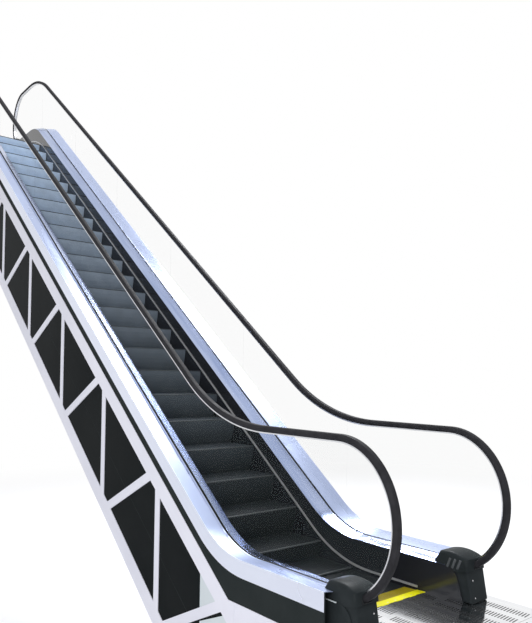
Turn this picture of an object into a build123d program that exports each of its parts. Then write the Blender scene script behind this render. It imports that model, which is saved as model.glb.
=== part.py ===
from build123d import *
import math
import os

# An indoor escalator for one flight, all sizes in millimetres.
# X runs across the steps (+X is on the right when riding up), Y runs along the
# flight, Z is up. The origin is the middle of the underside of the lower
# support angle, where the whole machine bears on the edge of the lower floor.

# Flight
incline = 35.0
rise = 5360.0
step_width = 800.0
step_pitch = 404.0
nose_radius_lower = 1200.0
nose_radius_upper = 1500.0
first_nose_along = 542.0

# Ends of the machine, measured from the two working points
lower_reach = 2300.0
upper_reach = 2500.0
comb_reach = 906.0
comb_overlap = 160.0
deck_reach_lower = 1105.0
deck_reach_upper = 1240.0

# Steps, with wheels and axles drawn as many-sided bars
step_gap = 4.0
tread_thickness = 22.0
riser_thickness = 9.0
riser_sweep = 37.0
cheek_thickness = 8.0
wheel_radius = 38.0
wheel_width = 22.0
wheel_sides = 6
wheel_clearance = 12.0
axle_radius = 11.0
axle_sides = 4
seat_gap = 0.3
chain_wheel_along = 330.0
chain_wheel_drop = 70.0
trail_wheel_drop = 210.0
rail_thickness = 6.0
rail_width = 40.0
rail_stop = 400.0
step_groups = 5

# Skirts and decks
skirt_gap = 4.0
skirt_thickness = 10.0
skirt_foot_drop = 250.0
skirt_top_land = 240.0
skirt_top_incline = 162.0
panel_reach = 151.0
panel_rake = 72.0
panel_corner_radius = 100.0
brush_rise = 37.0
brush_height = 14.0
brush_depth = 8.0
brush_stop = 49.0
deck_top_land = 280.0
deck_top_incline = 280.0
deck_thickness = 4.0
deck_pieces = 5
inner_deck_width = 86.0
inner_deck_thickness = 3.0
outer_deck_width = 136.0
fascia_height = 117.0
fascia_thickness = 4.0
apron_thickness = 8.0
deck_bend_radius = 885.0

# Glass
glass_thickness = 10.0
glass_slack = 0.3
glass_joint = 4.0
glass_length = 1560.0
clamp_width = 44.0
clamp_wall = 6.0
clamp_depth = 62.0
gasket_proud = 5.0

# Handrail, measured to the middle of the belt
rail_height_land = 1142.0
rail_height_incline = 943.0
rail_return_land = 190.0
rail_return_incline = 160.0
rail_bend_radius_lower = 1800.0
rail_bend_radius_upper = 1500.0
newel_reach_lower = 1047.0
newel_reach_upper = 1175.0
belt_width = 70.0
belt_thickness = 42.0
belt_wall = 9.0
belt_mouth = 34.0
belt_chamfer = 14.0
guide_width = 24.0
guide_height = 40.0
guide_slack = 1.0

# Newel caps
cap_length = 272.0
cap_base_radius = 300.0
cap_base_fillet = 28.0
cap_rake = 25.0
cap_shoulder_height = 142.0
cap_out = 83.0
cap_height = 325.0
cap_crown_along = 30.0
cap_brow_radius = 165.0
cap_hood_length = 118.0
cap_hood_edge = 8.0
cap_hood_radius = 600.0
cap_hood_width = 116.0
cap_slot_gap = 3.0

# Combs and floor plates
floor_lift = 12.0
comb_plate_thickness = 10.0
comb_tip_height = 4.0
plate_joint = 600.0

# Truss
chord_top_land = -15.0
chord_top_incline = 84.0
truss_depth = 1030.0
chord_height = 160.0
foot_chord_height = 142.0
chord_width = 60.0
web_width = 78.0
web_offset = 80.0
bay = 1094.0
infill_thickness = 5.0
infill_recess = 5.0
infill_set_back = 526.0
soffit_thickness = 3.0
end_plate_thickness = 12.0
beam_height = 80.0
beam_width = 60.0

# Supports and joints between plates
seat_drop = 150.0
angle_reach = 150.0
angle_thickness = 20.0
plate_gap = 2.0

# Worked out
slope = math.tan(math.radians(incline))
cos_i = math.cos(math.radians(incline))
wp_y = lower_reach + angle_reach / 2
floor_z = seat_drop
upper_wp = rise / slope
truss_start = -lower_reach
truss_end = upper_wp + upper_reach
deck_start = -deck_reach_lower
deck_end = upper_wp + deck_reach_upper
tread_depth = step_pitch - step_gap
skirt_inner = step_width / 2 + skirt_gap
skirt_outer = skirt_inner + skirt_thickness
clamp_inner = skirt_inner + inner_deck_width
rail_x = clamp_inner + clamp_width / 2
clamp_outer = clamp_inner + clamp_width
side_x = clamp_outer + outer_deck_width
overall_width = 2 * side_x
truss_inner = side_x - chord_width
trail_wheel_along = chain_wheel_along - (trail_wheel_drop - chain_wheel_drop) / slope
chain_wheel_x = skirt_outer + wheel_clearance
newel_radius = (rail_height_land - rail_return_land) / 2


def place(shape):
    """Move a shape from the lower working point's frame to the part's frame."""
    return Pos(0, wp_y, floor_z) * shape


def corners_along(land, slant, start, end):
    """Level, up the incline, level again: a height over the floors and the noses."""
    low_corner = (land - slant) / slope
    high_corner = (rise + land - slant) / slope
    return [(start, land), (low_corner, land), (high_corner, rise + land), (end, rise + land)]


def line_along(land, slant, radius_low, radius_high, start, end):
    """A line that follows the flight with a round bend at each floor."""
    return FilletPolyline(*corners_along(land, slant, start, end), radius=[radius_low, radius_high])


def deck_line(drop, start=deck_start, end=deck_end):
    """A line a given depth below the deck's top, square to the flight."""
    return line_along(deck_top_land - drop, deck_top_incline - drop / cos_i,
                      deck_bend_radius + drop, deck_bend_radius - drop, start, end)


def skirt_line(lift):
    """The skirt's top edge, or a line a little above it."""
    bend_drop = deck_top_land - skirt_top_land - lift
    return line_along(skirt_top_land + lift, skirt_top_incline + lift / cos_i,
                      deck_bend_radius + bend_drop, deck_bend_radius - bend_drop,
                      deck_start, deck_end)


def between(lower, upper):
    """The flat face between two lines along the flight."""
    sides = [Line(lower @ 0, upper @ 0), Line(lower @ 1, upper @ 1)]
    return make_face([lower, upper] + sides)


def plate(face, x_low, x_high):
    """A side view face made into a slab between two distances across."""
    return extrude(Plane.YZ.offset(x_low) * face, amount=x_high - x_low)


def across(face, side, x_near, x_far):
    """A slab from a side view face, on one side of the middle."""
    return plate(face, min(side * x_near, side * x_far), max(side * x_near, side * x_far))


def window(start, end):
    """A tall rectangle in the side view that keeps the lengths between."""
    tall = 4 * rise
    return Pos((start + end) / 2, rise / 2) * Rectangle(end - start, tall)


def lengths(face, cuts, gap):
    """Cut a long side view face into lengths with a gap at each joint."""
    pieces = []
    for low, high in zip(cuts[:-1], cuts[1:]):
        part = face & window(low + gap / 2, high - gap / 2)
        pieces += part.faces()
    return pieces


def save(name, shape):
    export_step(shape, "parts/" + name + ".step")


def both_sides(name, shapes):
    """Write a right hand piece and its mirror image on the left."""
    right = [place(shape) for shape in shapes]
    save(name + "_right", Compound(children=right))
    save(name + "_left", Compound(children=[mirror(shape, about=Plane.YZ) for shape in right]))


os.makedirs("parts", exist_ok=True)


# Where the noses are
def noses():
    """Noses one pitch apart along their path, kept where the steps show.

    Each is a point and the slope of the path there, in degrees."""
    start = -comb_reach - step_pitch
    end = upper_wp + comb_reach + step_pitch
    path = line_along(0, 0, nose_radius_lower, nose_radius_upper, start, end)
    corner = nose_radius_lower * math.tan(math.radians(incline / 2))
    arc = nose_radius_lower * math.radians(incline)
    to_first_nose = -start - corner + arc + first_nose_along / cos_i - corner
    first = to_first_nose % step_pitch
    count = int((path.length - first) / step_pitch) + 1
    low_limit = -comb_reach - tread_depth / 2
    high_limit = upper_wp + comb_reach - tread_depth / 2
    found = []
    for i in range(count):
        share = (first + step_pitch * i) / path.length
        spot = path @ share
        run = path % share
        if low_limit < spot.X < high_limit:
            found.append((spot, math.degrees(math.atan2(run.Y, run.X))))
    return found


# One step: tread, riser curved about the tread's rear edge, cheeks, wheels
def riser_point(radius, angle):
    return (tread_depth - radius * math.cos(angle), -radius * math.sin(angle))


def riser_arc(radius, start, end):
    middle = riser_point(radius, (start + end) / 2)
    return ThreePointArc(riser_point(radius, start), middle, riser_point(radius, end))


def step_outline():
    """The whole side view, with the cheek reaching down round both axles."""
    foot = math.radians(riser_sweep)
    edge = Polyline(riser_point(tread_depth, foot),
                    (trail_wheel_along, -trail_wheel_drop - 2 * axle_radius),
                    (chain_wheel_along + 2 * axle_radius, -chain_wheel_drop - 2 * axle_radius),
                    (tread_depth - axle_radius, -tread_thickness), (tread_depth, -tread_thickness),
                    (tread_depth, 0), (0, 0))
    return make_face([riser_arc(tread_depth, 0, foot), edge])


def step_hollow():
    """The open underside behind the riser and under the tread."""
    inner = tread_depth - riser_thickness
    under = math.asin(tread_thickness / inner)
    foot = math.radians(riser_sweep)
    deep = -2 * trail_wheel_drop
    edge = Polyline(riser_point(inner, foot), (riser_point(inner, foot)[0], deep),
                    (step_pitch, deep), (step_pitch, -tread_thickness), riser_point(inner, under))
    return make_face([riser_arc(inner, under, foot), edge])


def step_solid(turn):
    """One step, with a corner of each wheel turned square onto its rail."""
    half = step_width / 2
    body = plate(step_outline(), -half, half)
    body = body - plate(step_hollow(), cheek_thickness - half, half - cheek_thickness)
    chain_spot = Pos(chain_wheel_along, -chain_wheel_drop)
    trail_spot = Pos(trail_wheel_along, -trail_wheel_drop)
    wheel = Rot(0, 0, turn - 90) * RegularPolygon(wheel_radius, wheel_sides)
    axle = RegularPolygon(axle_radius, axle_sides)
    inside = half - cheek_thickness
    for side in (-1, 1):
        body = body + across(chain_spot * axle, side, half, chain_wheel_x)
        body = body + across(chain_spot * wheel, side, chain_wheel_x, chain_wheel_x + wheel_width)
        body = body + across(trail_spot * wheel, side, inside - wheel_width, inside)
    return body


def steps():
    all_noses = noses()
    size = math.ceil(len(all_noses) / step_groups)
    for number in range(step_groups):
        chosen = all_noses[number * size:(number + 1) * size]
        solids = [place(Pos(0, spot.X, spot.Y) * step_solid(turn)) for spot, turn in chosen]
        save("steps_%d" % (number + 1), Compound(children=solids))


# Rails that the step wheels run on, held by the cross beams
def wheel_line(along, drop, below):
    """The nose path moved to a wheel and then down by a distance."""
    return line_along(-drop - below, -drop - below / cos_i - along * slope,
                      nose_radius_lower + below, nose_radius_upper - below,
                      truss_start + rail_stop, truss_end - rail_stop)


def step_rails():
    solids = []
    trail_x = step_width / 2 - cheek_thickness - (wheel_width + rail_width) / 2
    wheels = ((chain_wheel_along, chain_wheel_drop, chain_wheel_x),
              (trail_wheel_along, trail_wheel_drop, trail_x))
    for along, drop, x_near in wheels:
        top = wheel_line(along, drop, wheel_radius + seat_gap)
        foot = wheel_line(along, drop, wheel_radius + seat_gap + rail_thickness)
        for side in (-1, 1):
            solids.append(place(across(between(foot, top), side, x_near, x_near + rail_width)))
    save("step_rails", Compound(children=solids))


# Truss
def truss_slant(depth):
    return chord_top_incline - depth / cos_i


def truss_line(depth):
    """A kinked line parallel to the top chord's upper edge, a depth below it."""
    land = chord_top_land - depth
    return Polyline(*corners_along(land, truss_slant(depth), truss_start, truss_end))


def kink(depth, lift):
    """Where a truss line turns, at the lower floor or lifted to the upper one."""
    return (lift + chord_top_land - depth - truss_slant(depth)) / slope


low_kink = kink(0, 0)
high_kink = kink(0, rise)


def truss_point(depth, along, where):
    """A point on a truss line, in the lower, sloping or upper stretch."""
    if where == "incline":
        return Vector(along, along * slope + truss_slant(depth))
    lift = rise if where == "upper" else 0
    return Vector(along, lift + chord_top_land - depth)


def web_bar(a, b):
    """A flat bar in the side view between two points."""
    run = b - a
    turn = math.degrees(math.atan2(run.Y, run.X))
    middle = (a + b) * 0.5
    return Pos(middle.X, middle.Y) * Rot(0, 0, turn) * Rectangle(run.length, web_width)


def posts():
    """Where the upright bars stand on the incline."""
    count = round((high_kink - low_kink) / bay)
    spacing = (high_kink - low_kink) / count
    return [low_kink + spacing * i for i in range(count + 1)]


def web_bars():
    """Posts, and a diagonal from beside the head of each to beside the foot of the next."""
    head = chord_height / 2
    foot = truss_depth - foot_chord_height / 2
    stretches = (("lower", [truss_start + web_width / 2, (truss_start + low_kink) / 2, low_kink]),
                 ("incline", posts()),
                 ("upper", [high_kink, (truss_end + high_kink) / 2, truss_end - web_width / 2]))
    bars = []
    for where, spots in stretches:
        for spot in spots:
            bars.append(web_bar(truss_point(head, spot, where), truss_point(foot, spot, where)))
        for low, high in zip(spots[:-1], spots[1:]):
            bars.append(web_bar(truss_point(head, low + web_offset, where),
                                truss_point(foot, high - web_offset, where)))
    return bars


def lattice():
    """The side view of both chords and all that stands between them."""
    face = Sketch() + web_bars() + between(truss_line(chord_height), truss_line(0))
    face = face + between(truss_line(truss_depth), truss_line(truss_depth - foot_chord_height))
    return face & between(truss_line(truss_depth), truss_line(0))


def truss_sides():
    whole = plate(lattice(), truss_inner, side_x)
    splits = [truss_start, low_kink - web_width / 2, kink(truss_depth, rise), truss_end]
    for name, low, high in zip(("lower", "incline", "upper"), splits[:-1], splits[1:]):
        box = plate(window(low, high), truss_inner, side_x)
        both_sides("truss_" + name, (whole & box).solids())


def cross_beams():
    """Beams from side to side that the rails lie on, one at each post."""
    solids = []
    below_noses = (chain_wheel_drop + chain_wheel_along * slope) * cos_i
    rail_foot = below_noses + wheel_radius + seat_gap + rail_thickness
    depth = rail_foot + chord_top_incline * cos_i + beam_height / 2
    for spot in posts()[1:-1]:
        middle = truss_point(depth, spot, "incline")
        beam = Box(2 * truss_inner, beam_width, beam_height)
        solids.append(place(Pos(0, middle.X, middle.Y) * Rot(incline, 0, 0) * beam))
    save("cross_beams", Compound(children=solids))


def side_panels():
    """Panels set into the lattice: dark up the incline, painted at both ends."""
    windows = between(truss_line(truss_depth), truss_line(0)) - lattice()
    dark = [low_kink + infill_set_back, high_kink - infill_set_back]
    outer = side_x - infill_recess
    stretches = (("side_infill", dark), ("side_plate", [truss_start, dark[0]]),
                 ("side_plate", [dark[1], truss_end]))
    panels = {}
    for name, (low, high) in stretches:
        faces = (windows & window(low, high)).faces()
        panels.setdefault(name, []).extend(plate(face, outer - infill_thickness, outer) for face in faces)
    for name, solids in panels.items():
        both_sides(name, solids)


def soffit():
    """Bottom covers, cut where the truss turns."""
    face = between(truss_line(truss_depth + soffit_thickness), truss_line(truss_depth))
    cuts = [truss_start, kink(truss_depth, 0), kink(truss_depth, rise), truss_end]
    slabs = [place(plate(piece, -side_x, side_x)) for piece in lengths(face, cuts, plate_gap)]
    save("soffit", Compound(children=slabs))


def end_plates():
    solids = []
    for edge, sign, lift in ((truss_start, 1, 0), (truss_end, -1, rise)):
        box = Box(2 * truss_inner, end_plate_thickness, truss_depth)
        y = edge + sign * end_plate_thickness / 2
        solids.append(place(Pos(0, y, lift + chord_top_land - truss_depth / 2) * box))
    save("end_plates", Compound(children=solids))


def support_angle(name, edge, sign, lift):
    leg_height = seat_drop + chord_top_land
    foot = Pos(0, edge + sign * angle_reach / 2, lift - seat_drop + angle_thickness / 2)
    shape = foot * Box(overall_width, angle_reach, angle_thickness)
    back = Pos(0, edge + sign * angle_thickness / 2, lift - seat_drop + leg_height / 2)
    shape = shape + back * Box(overall_width, angle_thickness, leg_height)
    save(name, place(shape))


# Balustrade base
def outer_decks():
    """Deck covers with their fascias, in lengths, and the dark apron below."""
    top = deck_line(0)
    under = deck_line(deck_thickness)
    foot = deck_line(fascia_height)
    piece_length = (deck_end - deck_start) / deck_pieces
    cuts = [deck_start + piece_length * i for i in range(deck_pieces + 1)]
    fascia = lengths(between(foot, top), cuts, plate_gap / 2)
    cover = lengths(between(under, top), cuts, plate_gap / 2)
    solids = []
    for side_piece, top_piece in zip(fascia, cover):
        shape = plate(side_piece, side_x - fascia_thickness, side_x)
        solids.append(shape + plate(top_piece, clamp_outer, side_x))
    both_sides("outer_deck", solids)
    chord_edge = Polyline(*corners_along(chord_top_land, chord_top_incline, deck_start, deck_end))
    x_out = side_x - fascia_thickness
    both_sides("deck_apron", [plate(between(chord_edge, under), x_out - apron_thickness, x_out)])


def inner_decks():
    """Sloping sheets from the glass clamp down to the top of the skirt."""
    t = inner_deck_thickness
    high = between(deck_line(t), deck_line(0))
    low = between(skirt_line(seat_gap), skirt_line(seat_gap + t))
    sections = [Plane.YZ.offset(clamp_inner) * high, Plane.YZ.offset(skirt_inner) * low]
    both_sides("inner_deck", [loft(sections, ruled=True)])


def newel_panel():
    """The round cornered end of the skirt in front of the deck, whose end is at zero."""
    top = FilletPolyline((-panel_reach, floor_lift), (panel_rake - panel_reach, skirt_top_land),
                         (0, skirt_top_land), radius=panel_corner_radius)
    return make_face([top, Polyline((0, skirt_top_land), (0, floor_lift), (-panel_reach, floor_lift))])


def skirts():
    foot = line_along(chord_top_land, -skirt_foot_drop, deck_bend_radius, deck_bend_radius,
                      deck_start, deck_end)
    face = between(foot, skirt_line(0)) + Pos(deck_start, 0) * newel_panel()
    face = face + Pos(deck_end, rise) * mirror(newel_panel(), about=Plane.YZ)
    both_sides("skirt", [plate(face, skirt_inner, skirt_outer)])
    start = -comb_reach + brush_stop
    end = upper_wp + comb_reach - brush_stop
    high = line_along(brush_rise, brush_rise, nose_radius_lower, nose_radius_upper, start, end)
    low = line_along(brush_rise - brush_height, brush_rise - brush_height / cos_i,
                     nose_radius_lower, nose_radius_upper, start, end)
    both_sides("skirt_brush", [plate(between(low, high), skirt_inner - brush_depth, skirt_inner)])


def swept(section, path):
    """An outline across the flight, about the path's start, carried along the path."""
    start = path @ 0
    frame = Plane(origin=(0, start.X, start.Y), x_dir=(1, 0, 0), z_dir=(0, -1, 0))
    return sweep(frame * make_face(Polyline(*section, close=True)), path=Plane.YZ * path)


def clamps():
    """Channels that hold the foot of the glass, with a gasket lip proud of the deck."""
    slot = glass_thickness / 2
    floor = -clamp_depth + clamp_wall
    half = [(clamp_width / 2, -clamp_depth), (clamp_width / 2, 0),
            (slot + clamp_wall, gasket_proud), (slot, gasket_proud), (slot, floor)]
    section = half + [(-x, z) for x, z in reversed(half)]
    both_sides("glass_clamp", [Pos(rail_x, 0, 0) * swept(section, deck_line(0))])


# Handrail, its guide and the glass under it
def rail_loop(inset):
    """The handrail's loop in the side view, made smaller all round by the inset."""
    low_end = -newel_reach_lower
    high_end = upper_wp + newel_reach_upper
    over = line_along(rail_height_land - inset, rail_height_incline - inset / cos_i,
                      rail_bend_radius_lower + inset, rail_bend_radius_upper - inset, low_end, high_end)
    bend_drop = deck_top_land - rail_return_land - inset
    back = line_along(rail_return_land + inset, rail_return_incline + inset / cos_i,
                      deck_bend_radius + bend_drop, deck_bend_radius - bend_drop, low_end, high_end)
    radius = newel_radius - inset
    middle = rail_height_land - newel_radius
    low_nose = ThreePointArc(over @ 0, (low_end - radius, middle), back @ 0)
    high_nose = ThreePointArc(over @ 1, (high_end + radius, rise + middle), back @ 1)
    return [over, low_nose, back, high_nose]


def above_deck(drop):
    """The side view above a line that lies a depth below the deck's top."""
    far = newel_reach_upper + newel_radius * 2
    high = Line((-far, 2 * rise), (upper_wp + far, 2 * rise))
    return between(deck_line(drop, -far, upper_wp + far), high)


def handrails():
    """A flat topped belt with a groove along its underside for the guide."""
    half = belt_width / 2
    top = belt_thickness / 2
    side = [(half - belt_chamfer, top), (half, top - belt_chamfer), (half, belt_chamfer - top),
            (half - belt_chamfer, -top), (belt_mouth / 2, -top), (belt_mouth / 2, top - belt_wall)]
    section = side + [(-x, z) for x, z in reversed(side)]
    path = Wire(Curve() + rail_loop(0))
    start = rail_loop(0)[0] @ 0
    frame = Plane(origin=(rail_x, start.X, start.Y), x_dir=(1, 0, 0), z_dir=(0, -1, 0))
    face = frame * make_face(Polyline(*section, close=True))
    both_sides("handrail", [sweep(face, path=Plane.YZ * path)])


guide_inset = guide_height - (belt_thickness / 2 - belt_wall - guide_slack)


def guides():
    ring = make_face(rail_loop(guide_inset - guide_height)) - make_face(rail_loop(guide_inset))
    guide = ring & above_deck(-deck_thickness)
    both_sides("handrail_guide", [plate(guide, rail_x - guide_width / 2, rail_x + guide_width / 2)])


def glass():
    face = make_face(rail_loop(guide_inset)) & above_deck(clamp_depth - clamp_wall)
    start = -newel_reach_lower - newel_radius
    end = upper_wp + newel_reach_upper + newel_radius
    count = round((end - start) / glass_length)
    cuts = [start + (end - start) * i / count for i in range(count + 1)]
    half = glass_thickness / 2 - glass_slack
    both_sides("glass", [plate(piece, rail_x - half, rail_x + half)
                         for piece in lengths(face, cuts, glass_joint)])


# Moulded caps where the handrail goes in
def cap_shape():
    """A wide base and a narrower hood over the belt, with the deck's end at zero."""
    back = -seat_gap
    front = back - cap_length
    shoulder = (front + cap_rake, cap_shoulder_height)
    crown = (-cap_crown_along, cap_height)
    over_deck = deck_top_land + gasket_proud + seat_gap
    hood_end = (cap_hood_length, over_deck + cap_hood_edge)
    base = make_face([Polyline(shoulder, (front, floor_lift), (back, floor_lift), (back, deck_top_land)),
                      RadiusArc((back, deck_top_land), shoulder, -cap_base_radius)])
    hood = make_face([RadiusArc(hood_end, crown, -cap_hood_radius),
                      RadiusArc(crown, shoulder, -cap_brow_radius),
                      Polyline(shoulder, (back, cap_shoulder_height), (back, over_deck),
                               (cap_hood_length, over_deck), hood_end)])
    foot = plate(base, skirt_outer + seat_gap, rail_x + cap_out)
    front_face = foot.faces().sort_by(Axis.Y)[0]
    upright = [edge for edge in front_face.edges() if abs(edge.tangent_at(0.5).X) < 0.5]
    foot = fillet(upright, cap_base_fillet)
    return foot + plate(hood, rail_x - cap_hood_width / 2, rail_x + cap_hood_width / 2)


def caps():
    gap = belt_thickness / 2 + cap_slot_gap
    belt_room = make_face(rail_loop(-gap)) - make_face(rail_loop(gap))
    half = belt_width / 2 + cap_slot_gap
    room = plate(belt_room, rail_x - half, rail_x + half)
    half = guide_width / 2 + guide_slack
    room = room + plate(make_face(rail_loop(0)), rail_x - half, rail_x + half)
    cap = cap_shape()
    both_sides("newel_cap_lower", (Pos(0, deck_start, 0) * cap - room).solids())
    turned = Pos(0, deck_end, rise) * mirror(cap, about=Plane.XZ)
    both_sides("newel_cap_upper", (turned - room).solids())


# Combs and floor plates
def comb_and_covers(deck_reach, reach):
    """Comb, comb plate and floor covers, drawn for the lower end."""
    half = skirt_inner - plate_gap
    low = floor_lift - comb_plate_thickness
    tip = -comb_reach + comb_overlap
    comb_face = make_face(Polyline((-comb_reach, low), (tip, low), (tip, low + comb_tip_height),
                                   (-comb_reach, floor_lift), close=True))
    edge = -comb_reach - seat_gap
    back = -deck_reach + seat_gap
    plate_face = make_face(Polyline((back, low), (edge, low), (edge, floor_lift),
                                    (back, floor_lift), close=True))
    covers = []
    for start, end in ((-reach, -reach + plate_joint), (-reach + plate_joint + plate_gap, -deck_reach)):
        cover = Box(overall_width, end - start, floor_lift - chord_top_land)
        covers.append(Pos(0, (start + end) / 2, (chord_top_land + floor_lift) / 2) * cover)
    comb = plate(comb_face, brush_depth - half, half - brush_depth)
    return comb, plate(plate_face, -half, half), covers


def settle_lower(shape):
    return place(shape)


def settle_upper(shape):
    return place(Pos(0, upper_wp, rise) * mirror(shape, about=Plane.XZ))


def floors():
    ends = (("lower", deck_reach_lower, lower_reach, settle_lower),
            ("upper", deck_reach_upper, upper_reach, settle_upper))
    for name, deck_reach, reach, settle in ends:
        comb, comb_plate, covers = comb_and_covers(deck_reach, reach)
        save("comb_" + name, settle(comb))
        save("comb_plate_" + name, settle(comb_plate))
        save("floor_covers_" + name, Compound(children=[settle(cover) for cover in covers]))


steps()
step_rails()
truss_sides()
cross_beams()
side_panels()
soffit()
end_plates()
support_angle("support_angle_lower", truss_start, -1, 0)
support_angle("support_angle_upper", truss_end, 1, rise)
outer_decks()
inner_decks()
clamps()
skirts()
handrails()
guides()
glass()
caps()
floors()
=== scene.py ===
# %% [markdown]
# # An escalator, from its plain solids to a finished picture
#
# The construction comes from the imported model: every plate, rail and step already
# lies where it belongs, in metres. This lesson gives the pieces their finishes and
# adds what is too fine for the solids: cleats on the steps, teeth on the combs,
# soft edges on moulded and rolled parts, treads on the landing plates and fastenings.

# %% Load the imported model
import math
import bmesh
import bpy
from mathutils import Matrix, Vector


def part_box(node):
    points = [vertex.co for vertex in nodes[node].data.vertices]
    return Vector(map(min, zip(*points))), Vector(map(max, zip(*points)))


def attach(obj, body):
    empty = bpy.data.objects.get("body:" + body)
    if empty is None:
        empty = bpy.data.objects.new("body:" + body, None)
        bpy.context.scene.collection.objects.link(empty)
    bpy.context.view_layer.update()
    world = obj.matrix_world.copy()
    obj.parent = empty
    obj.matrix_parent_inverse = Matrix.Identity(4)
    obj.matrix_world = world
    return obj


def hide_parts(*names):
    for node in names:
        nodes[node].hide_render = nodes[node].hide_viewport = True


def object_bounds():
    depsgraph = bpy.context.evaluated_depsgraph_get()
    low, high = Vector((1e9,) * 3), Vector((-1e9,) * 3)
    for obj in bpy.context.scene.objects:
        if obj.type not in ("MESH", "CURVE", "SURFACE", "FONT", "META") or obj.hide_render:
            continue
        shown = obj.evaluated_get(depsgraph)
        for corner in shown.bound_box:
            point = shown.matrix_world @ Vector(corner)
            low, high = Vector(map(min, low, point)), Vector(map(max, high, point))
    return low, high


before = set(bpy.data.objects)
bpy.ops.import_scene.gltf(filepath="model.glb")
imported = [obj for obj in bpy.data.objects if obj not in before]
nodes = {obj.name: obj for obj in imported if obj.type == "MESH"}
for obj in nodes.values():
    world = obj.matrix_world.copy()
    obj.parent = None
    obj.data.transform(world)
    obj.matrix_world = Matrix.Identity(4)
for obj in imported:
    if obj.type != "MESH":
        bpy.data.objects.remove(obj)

cad_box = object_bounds()
print(len(nodes), "pieces loaded, box", cad_box)

# %% [markdown]
# ## The measures that the new pieces share
#
# The flight is level, then climbs, then is level again. `RUN_START` is where its slope
# would meet the lower floor and `RUN_END` where it would meet the upper one. Fine
# pieces follow from these few values and from the boxes of the pieces they sit on.

# %% Driving measures
INCLINE = math.radians(35)
SLOPE = math.tan(INCLINE)
RUN_START = 2.375
FLOOR = 0.150
RISE = 5.360
RUN_END = RUN_START + RISE / SLOPE
TREAD_DEPTH = 0.400
STEP_WIDTH = 0.800
RAIL_X = 0.512
SIDE_X = 0.670
GROUND = cad_box[0][2]
SIDES = (("left", -1), ("right", 1))
print("flight of", round(RUN_END - RUN_START, 3), "m run")

# %% [markdown]
# ## The camera
#
# The picture was taken from the left of the lower landing, at about eye height, with
# a short lens. A place, a compass bearing, a slight tilt and a slight roll set the view,
# and the lens is shifted because the picture is cut from a larger one.

# %% Camera
IMAGE_WIDTH, IMAGE_HEIGHT = 532, 623
FOCAL_PIXELS = 662.309
CENTRE_PIXEL = (364.369, 362.493)
SENSOR = 36.0
CAMERA_PLACE = (-3.115, -1.621, 1.657)
bearing, tilt, roll = math.radians(43.461), math.radians(1.174), math.radians(0.692)

forward = Vector((math.sin(bearing) * math.cos(tilt), math.cos(bearing) * math.cos(tilt),
                  math.sin(tilt)))
level_right = Vector((math.cos(bearing), -math.sin(bearing), 0))
level_up = level_right.cross(forward)
camera_right = level_right * math.cos(roll) + level_up * math.sin(roll)
camera_up = level_up * math.cos(roll) - level_right * math.sin(roll)

lens = bpy.data.cameras.new("camera")
camera = bpy.data.objects.new("camera", lens)
bpy.context.scene.collection.objects.link(camera)
camera.matrix_world = Matrix((camera_right, camera_up, -forward)).transposed().to_4x4()
camera.location = CAMERA_PLACE
lens.sensor_width = SENSOR
lens.lens = FOCAL_PIXELS * SENSOR / IMAGE_HEIGHT
lens.shift_x = (IMAGE_WIDTH / 2 - CENTRE_PIXEL[0]) / IMAGE_HEIGHT
lens.shift_y = (CENTRE_PIXEL[1] - IMAGE_HEIGHT / 2) / IMAGE_HEIGHT
bpy.context.scene.camera = camera
print("lens", round(lens.lens, 2), "mm")

# %% [markdown]
# ## Background
#
# A showroom piece stands before white. The world is white to the camera, to mirrors
# and through glass, and dimmer as a light, so polished parts show a white room
# while soft lamps model the shapes.

# %% World
scene = bpy.context.scene
scene.view_settings.view_transform = "Standard"
world = bpy.data.worlds.new("studio")
scene.world = world
world.use_nodes = True
wn, wl = world.node_tree.nodes, world.node_tree.links
background = wn["Background"]
background.inputs["Color"].default_value = (1, 1, 1, 1)
ray = wn.new("ShaderNodeLightPath")
seen = wn.new("ShaderNodeMath")
seen.operation = "MAXIMUM"
seen_through = wn.new("ShaderNodeMath")
seen_through.operation = "MAXIMUM"
strength = wn.new("ShaderNodeMapRange")
WORLD_AS_LIGHT = 0.60
strength.inputs["To Min"].default_value = WORLD_AS_LIGHT
strength.inputs["To Max"].default_value = 1.0
wl.new(ray.outputs["Is Camera Ray"], seen.inputs[0])
wl.new(ray.outputs["Is Glossy Ray"], seen.inputs[1])
wl.new(seen.outputs[0], seen_through.inputs[0])
wl.new(ray.outputs["Is Transmission Ray"], seen_through.inputs[1])
wl.new(seen_through.outputs[0], strength.inputs["Value"])
wl.new(strength.outputs["Result"], background.inputs["Strength"])
print("world lights at", WORLD_AS_LIGHT)

# %% [markdown]
# ## Floor and lamps
#
# A pale floor lies under the lowest point and catches the shadow; farther out it fades
# to the white of the background, so that no horizon shows. The lamps are large
# and far off. The one over the far side is placed so that the bend of the deck, which
# is a shallow mirror, throws it back to the camera as one bright patch.

# %% Floor and lamps
FLOOR_SIZE = 90
FLOOR_MIDDLE = 5
FADE_START, FADE_END = 5, 13
bpy.ops.object.select_all(action="DESELECT")
bpy.ops.mesh.primitive_plane_add(size=FLOOR_SIZE, location=(0, FLOOR_MIDDLE, GROUND - 0.002))
ground = bpy.context.object
ground.name = "studio_floor"
ground_paint = bpy.data.materials.new("studio floor")
ground_paint.use_nodes = True
gn, gl = ground_paint.node_tree.nodes, ground_paint.node_tree.links
matt = gn["Principled BSDF"]
matt.inputs["Base Color"].default_value = (0.93, 0.93, 0.94, 1)
matt.inputs["Roughness"].default_value = 0.9
matt.inputs["Specular IOR Level"].default_value = 0.1
white = gn.new("ShaderNodeEmission")
spot = gn.new("ShaderNodeTexCoord")
away = gn.new("ShaderNodeVectorMath")
away.operation = "LENGTH"
fade = gn.new("ShaderNodeMapRange")
fade.interpolation_type = "SMOOTHSTEP"
fade.inputs["From Min"].default_value = FADE_START
fade.inputs["From Max"].default_value = FADE_END
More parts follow.
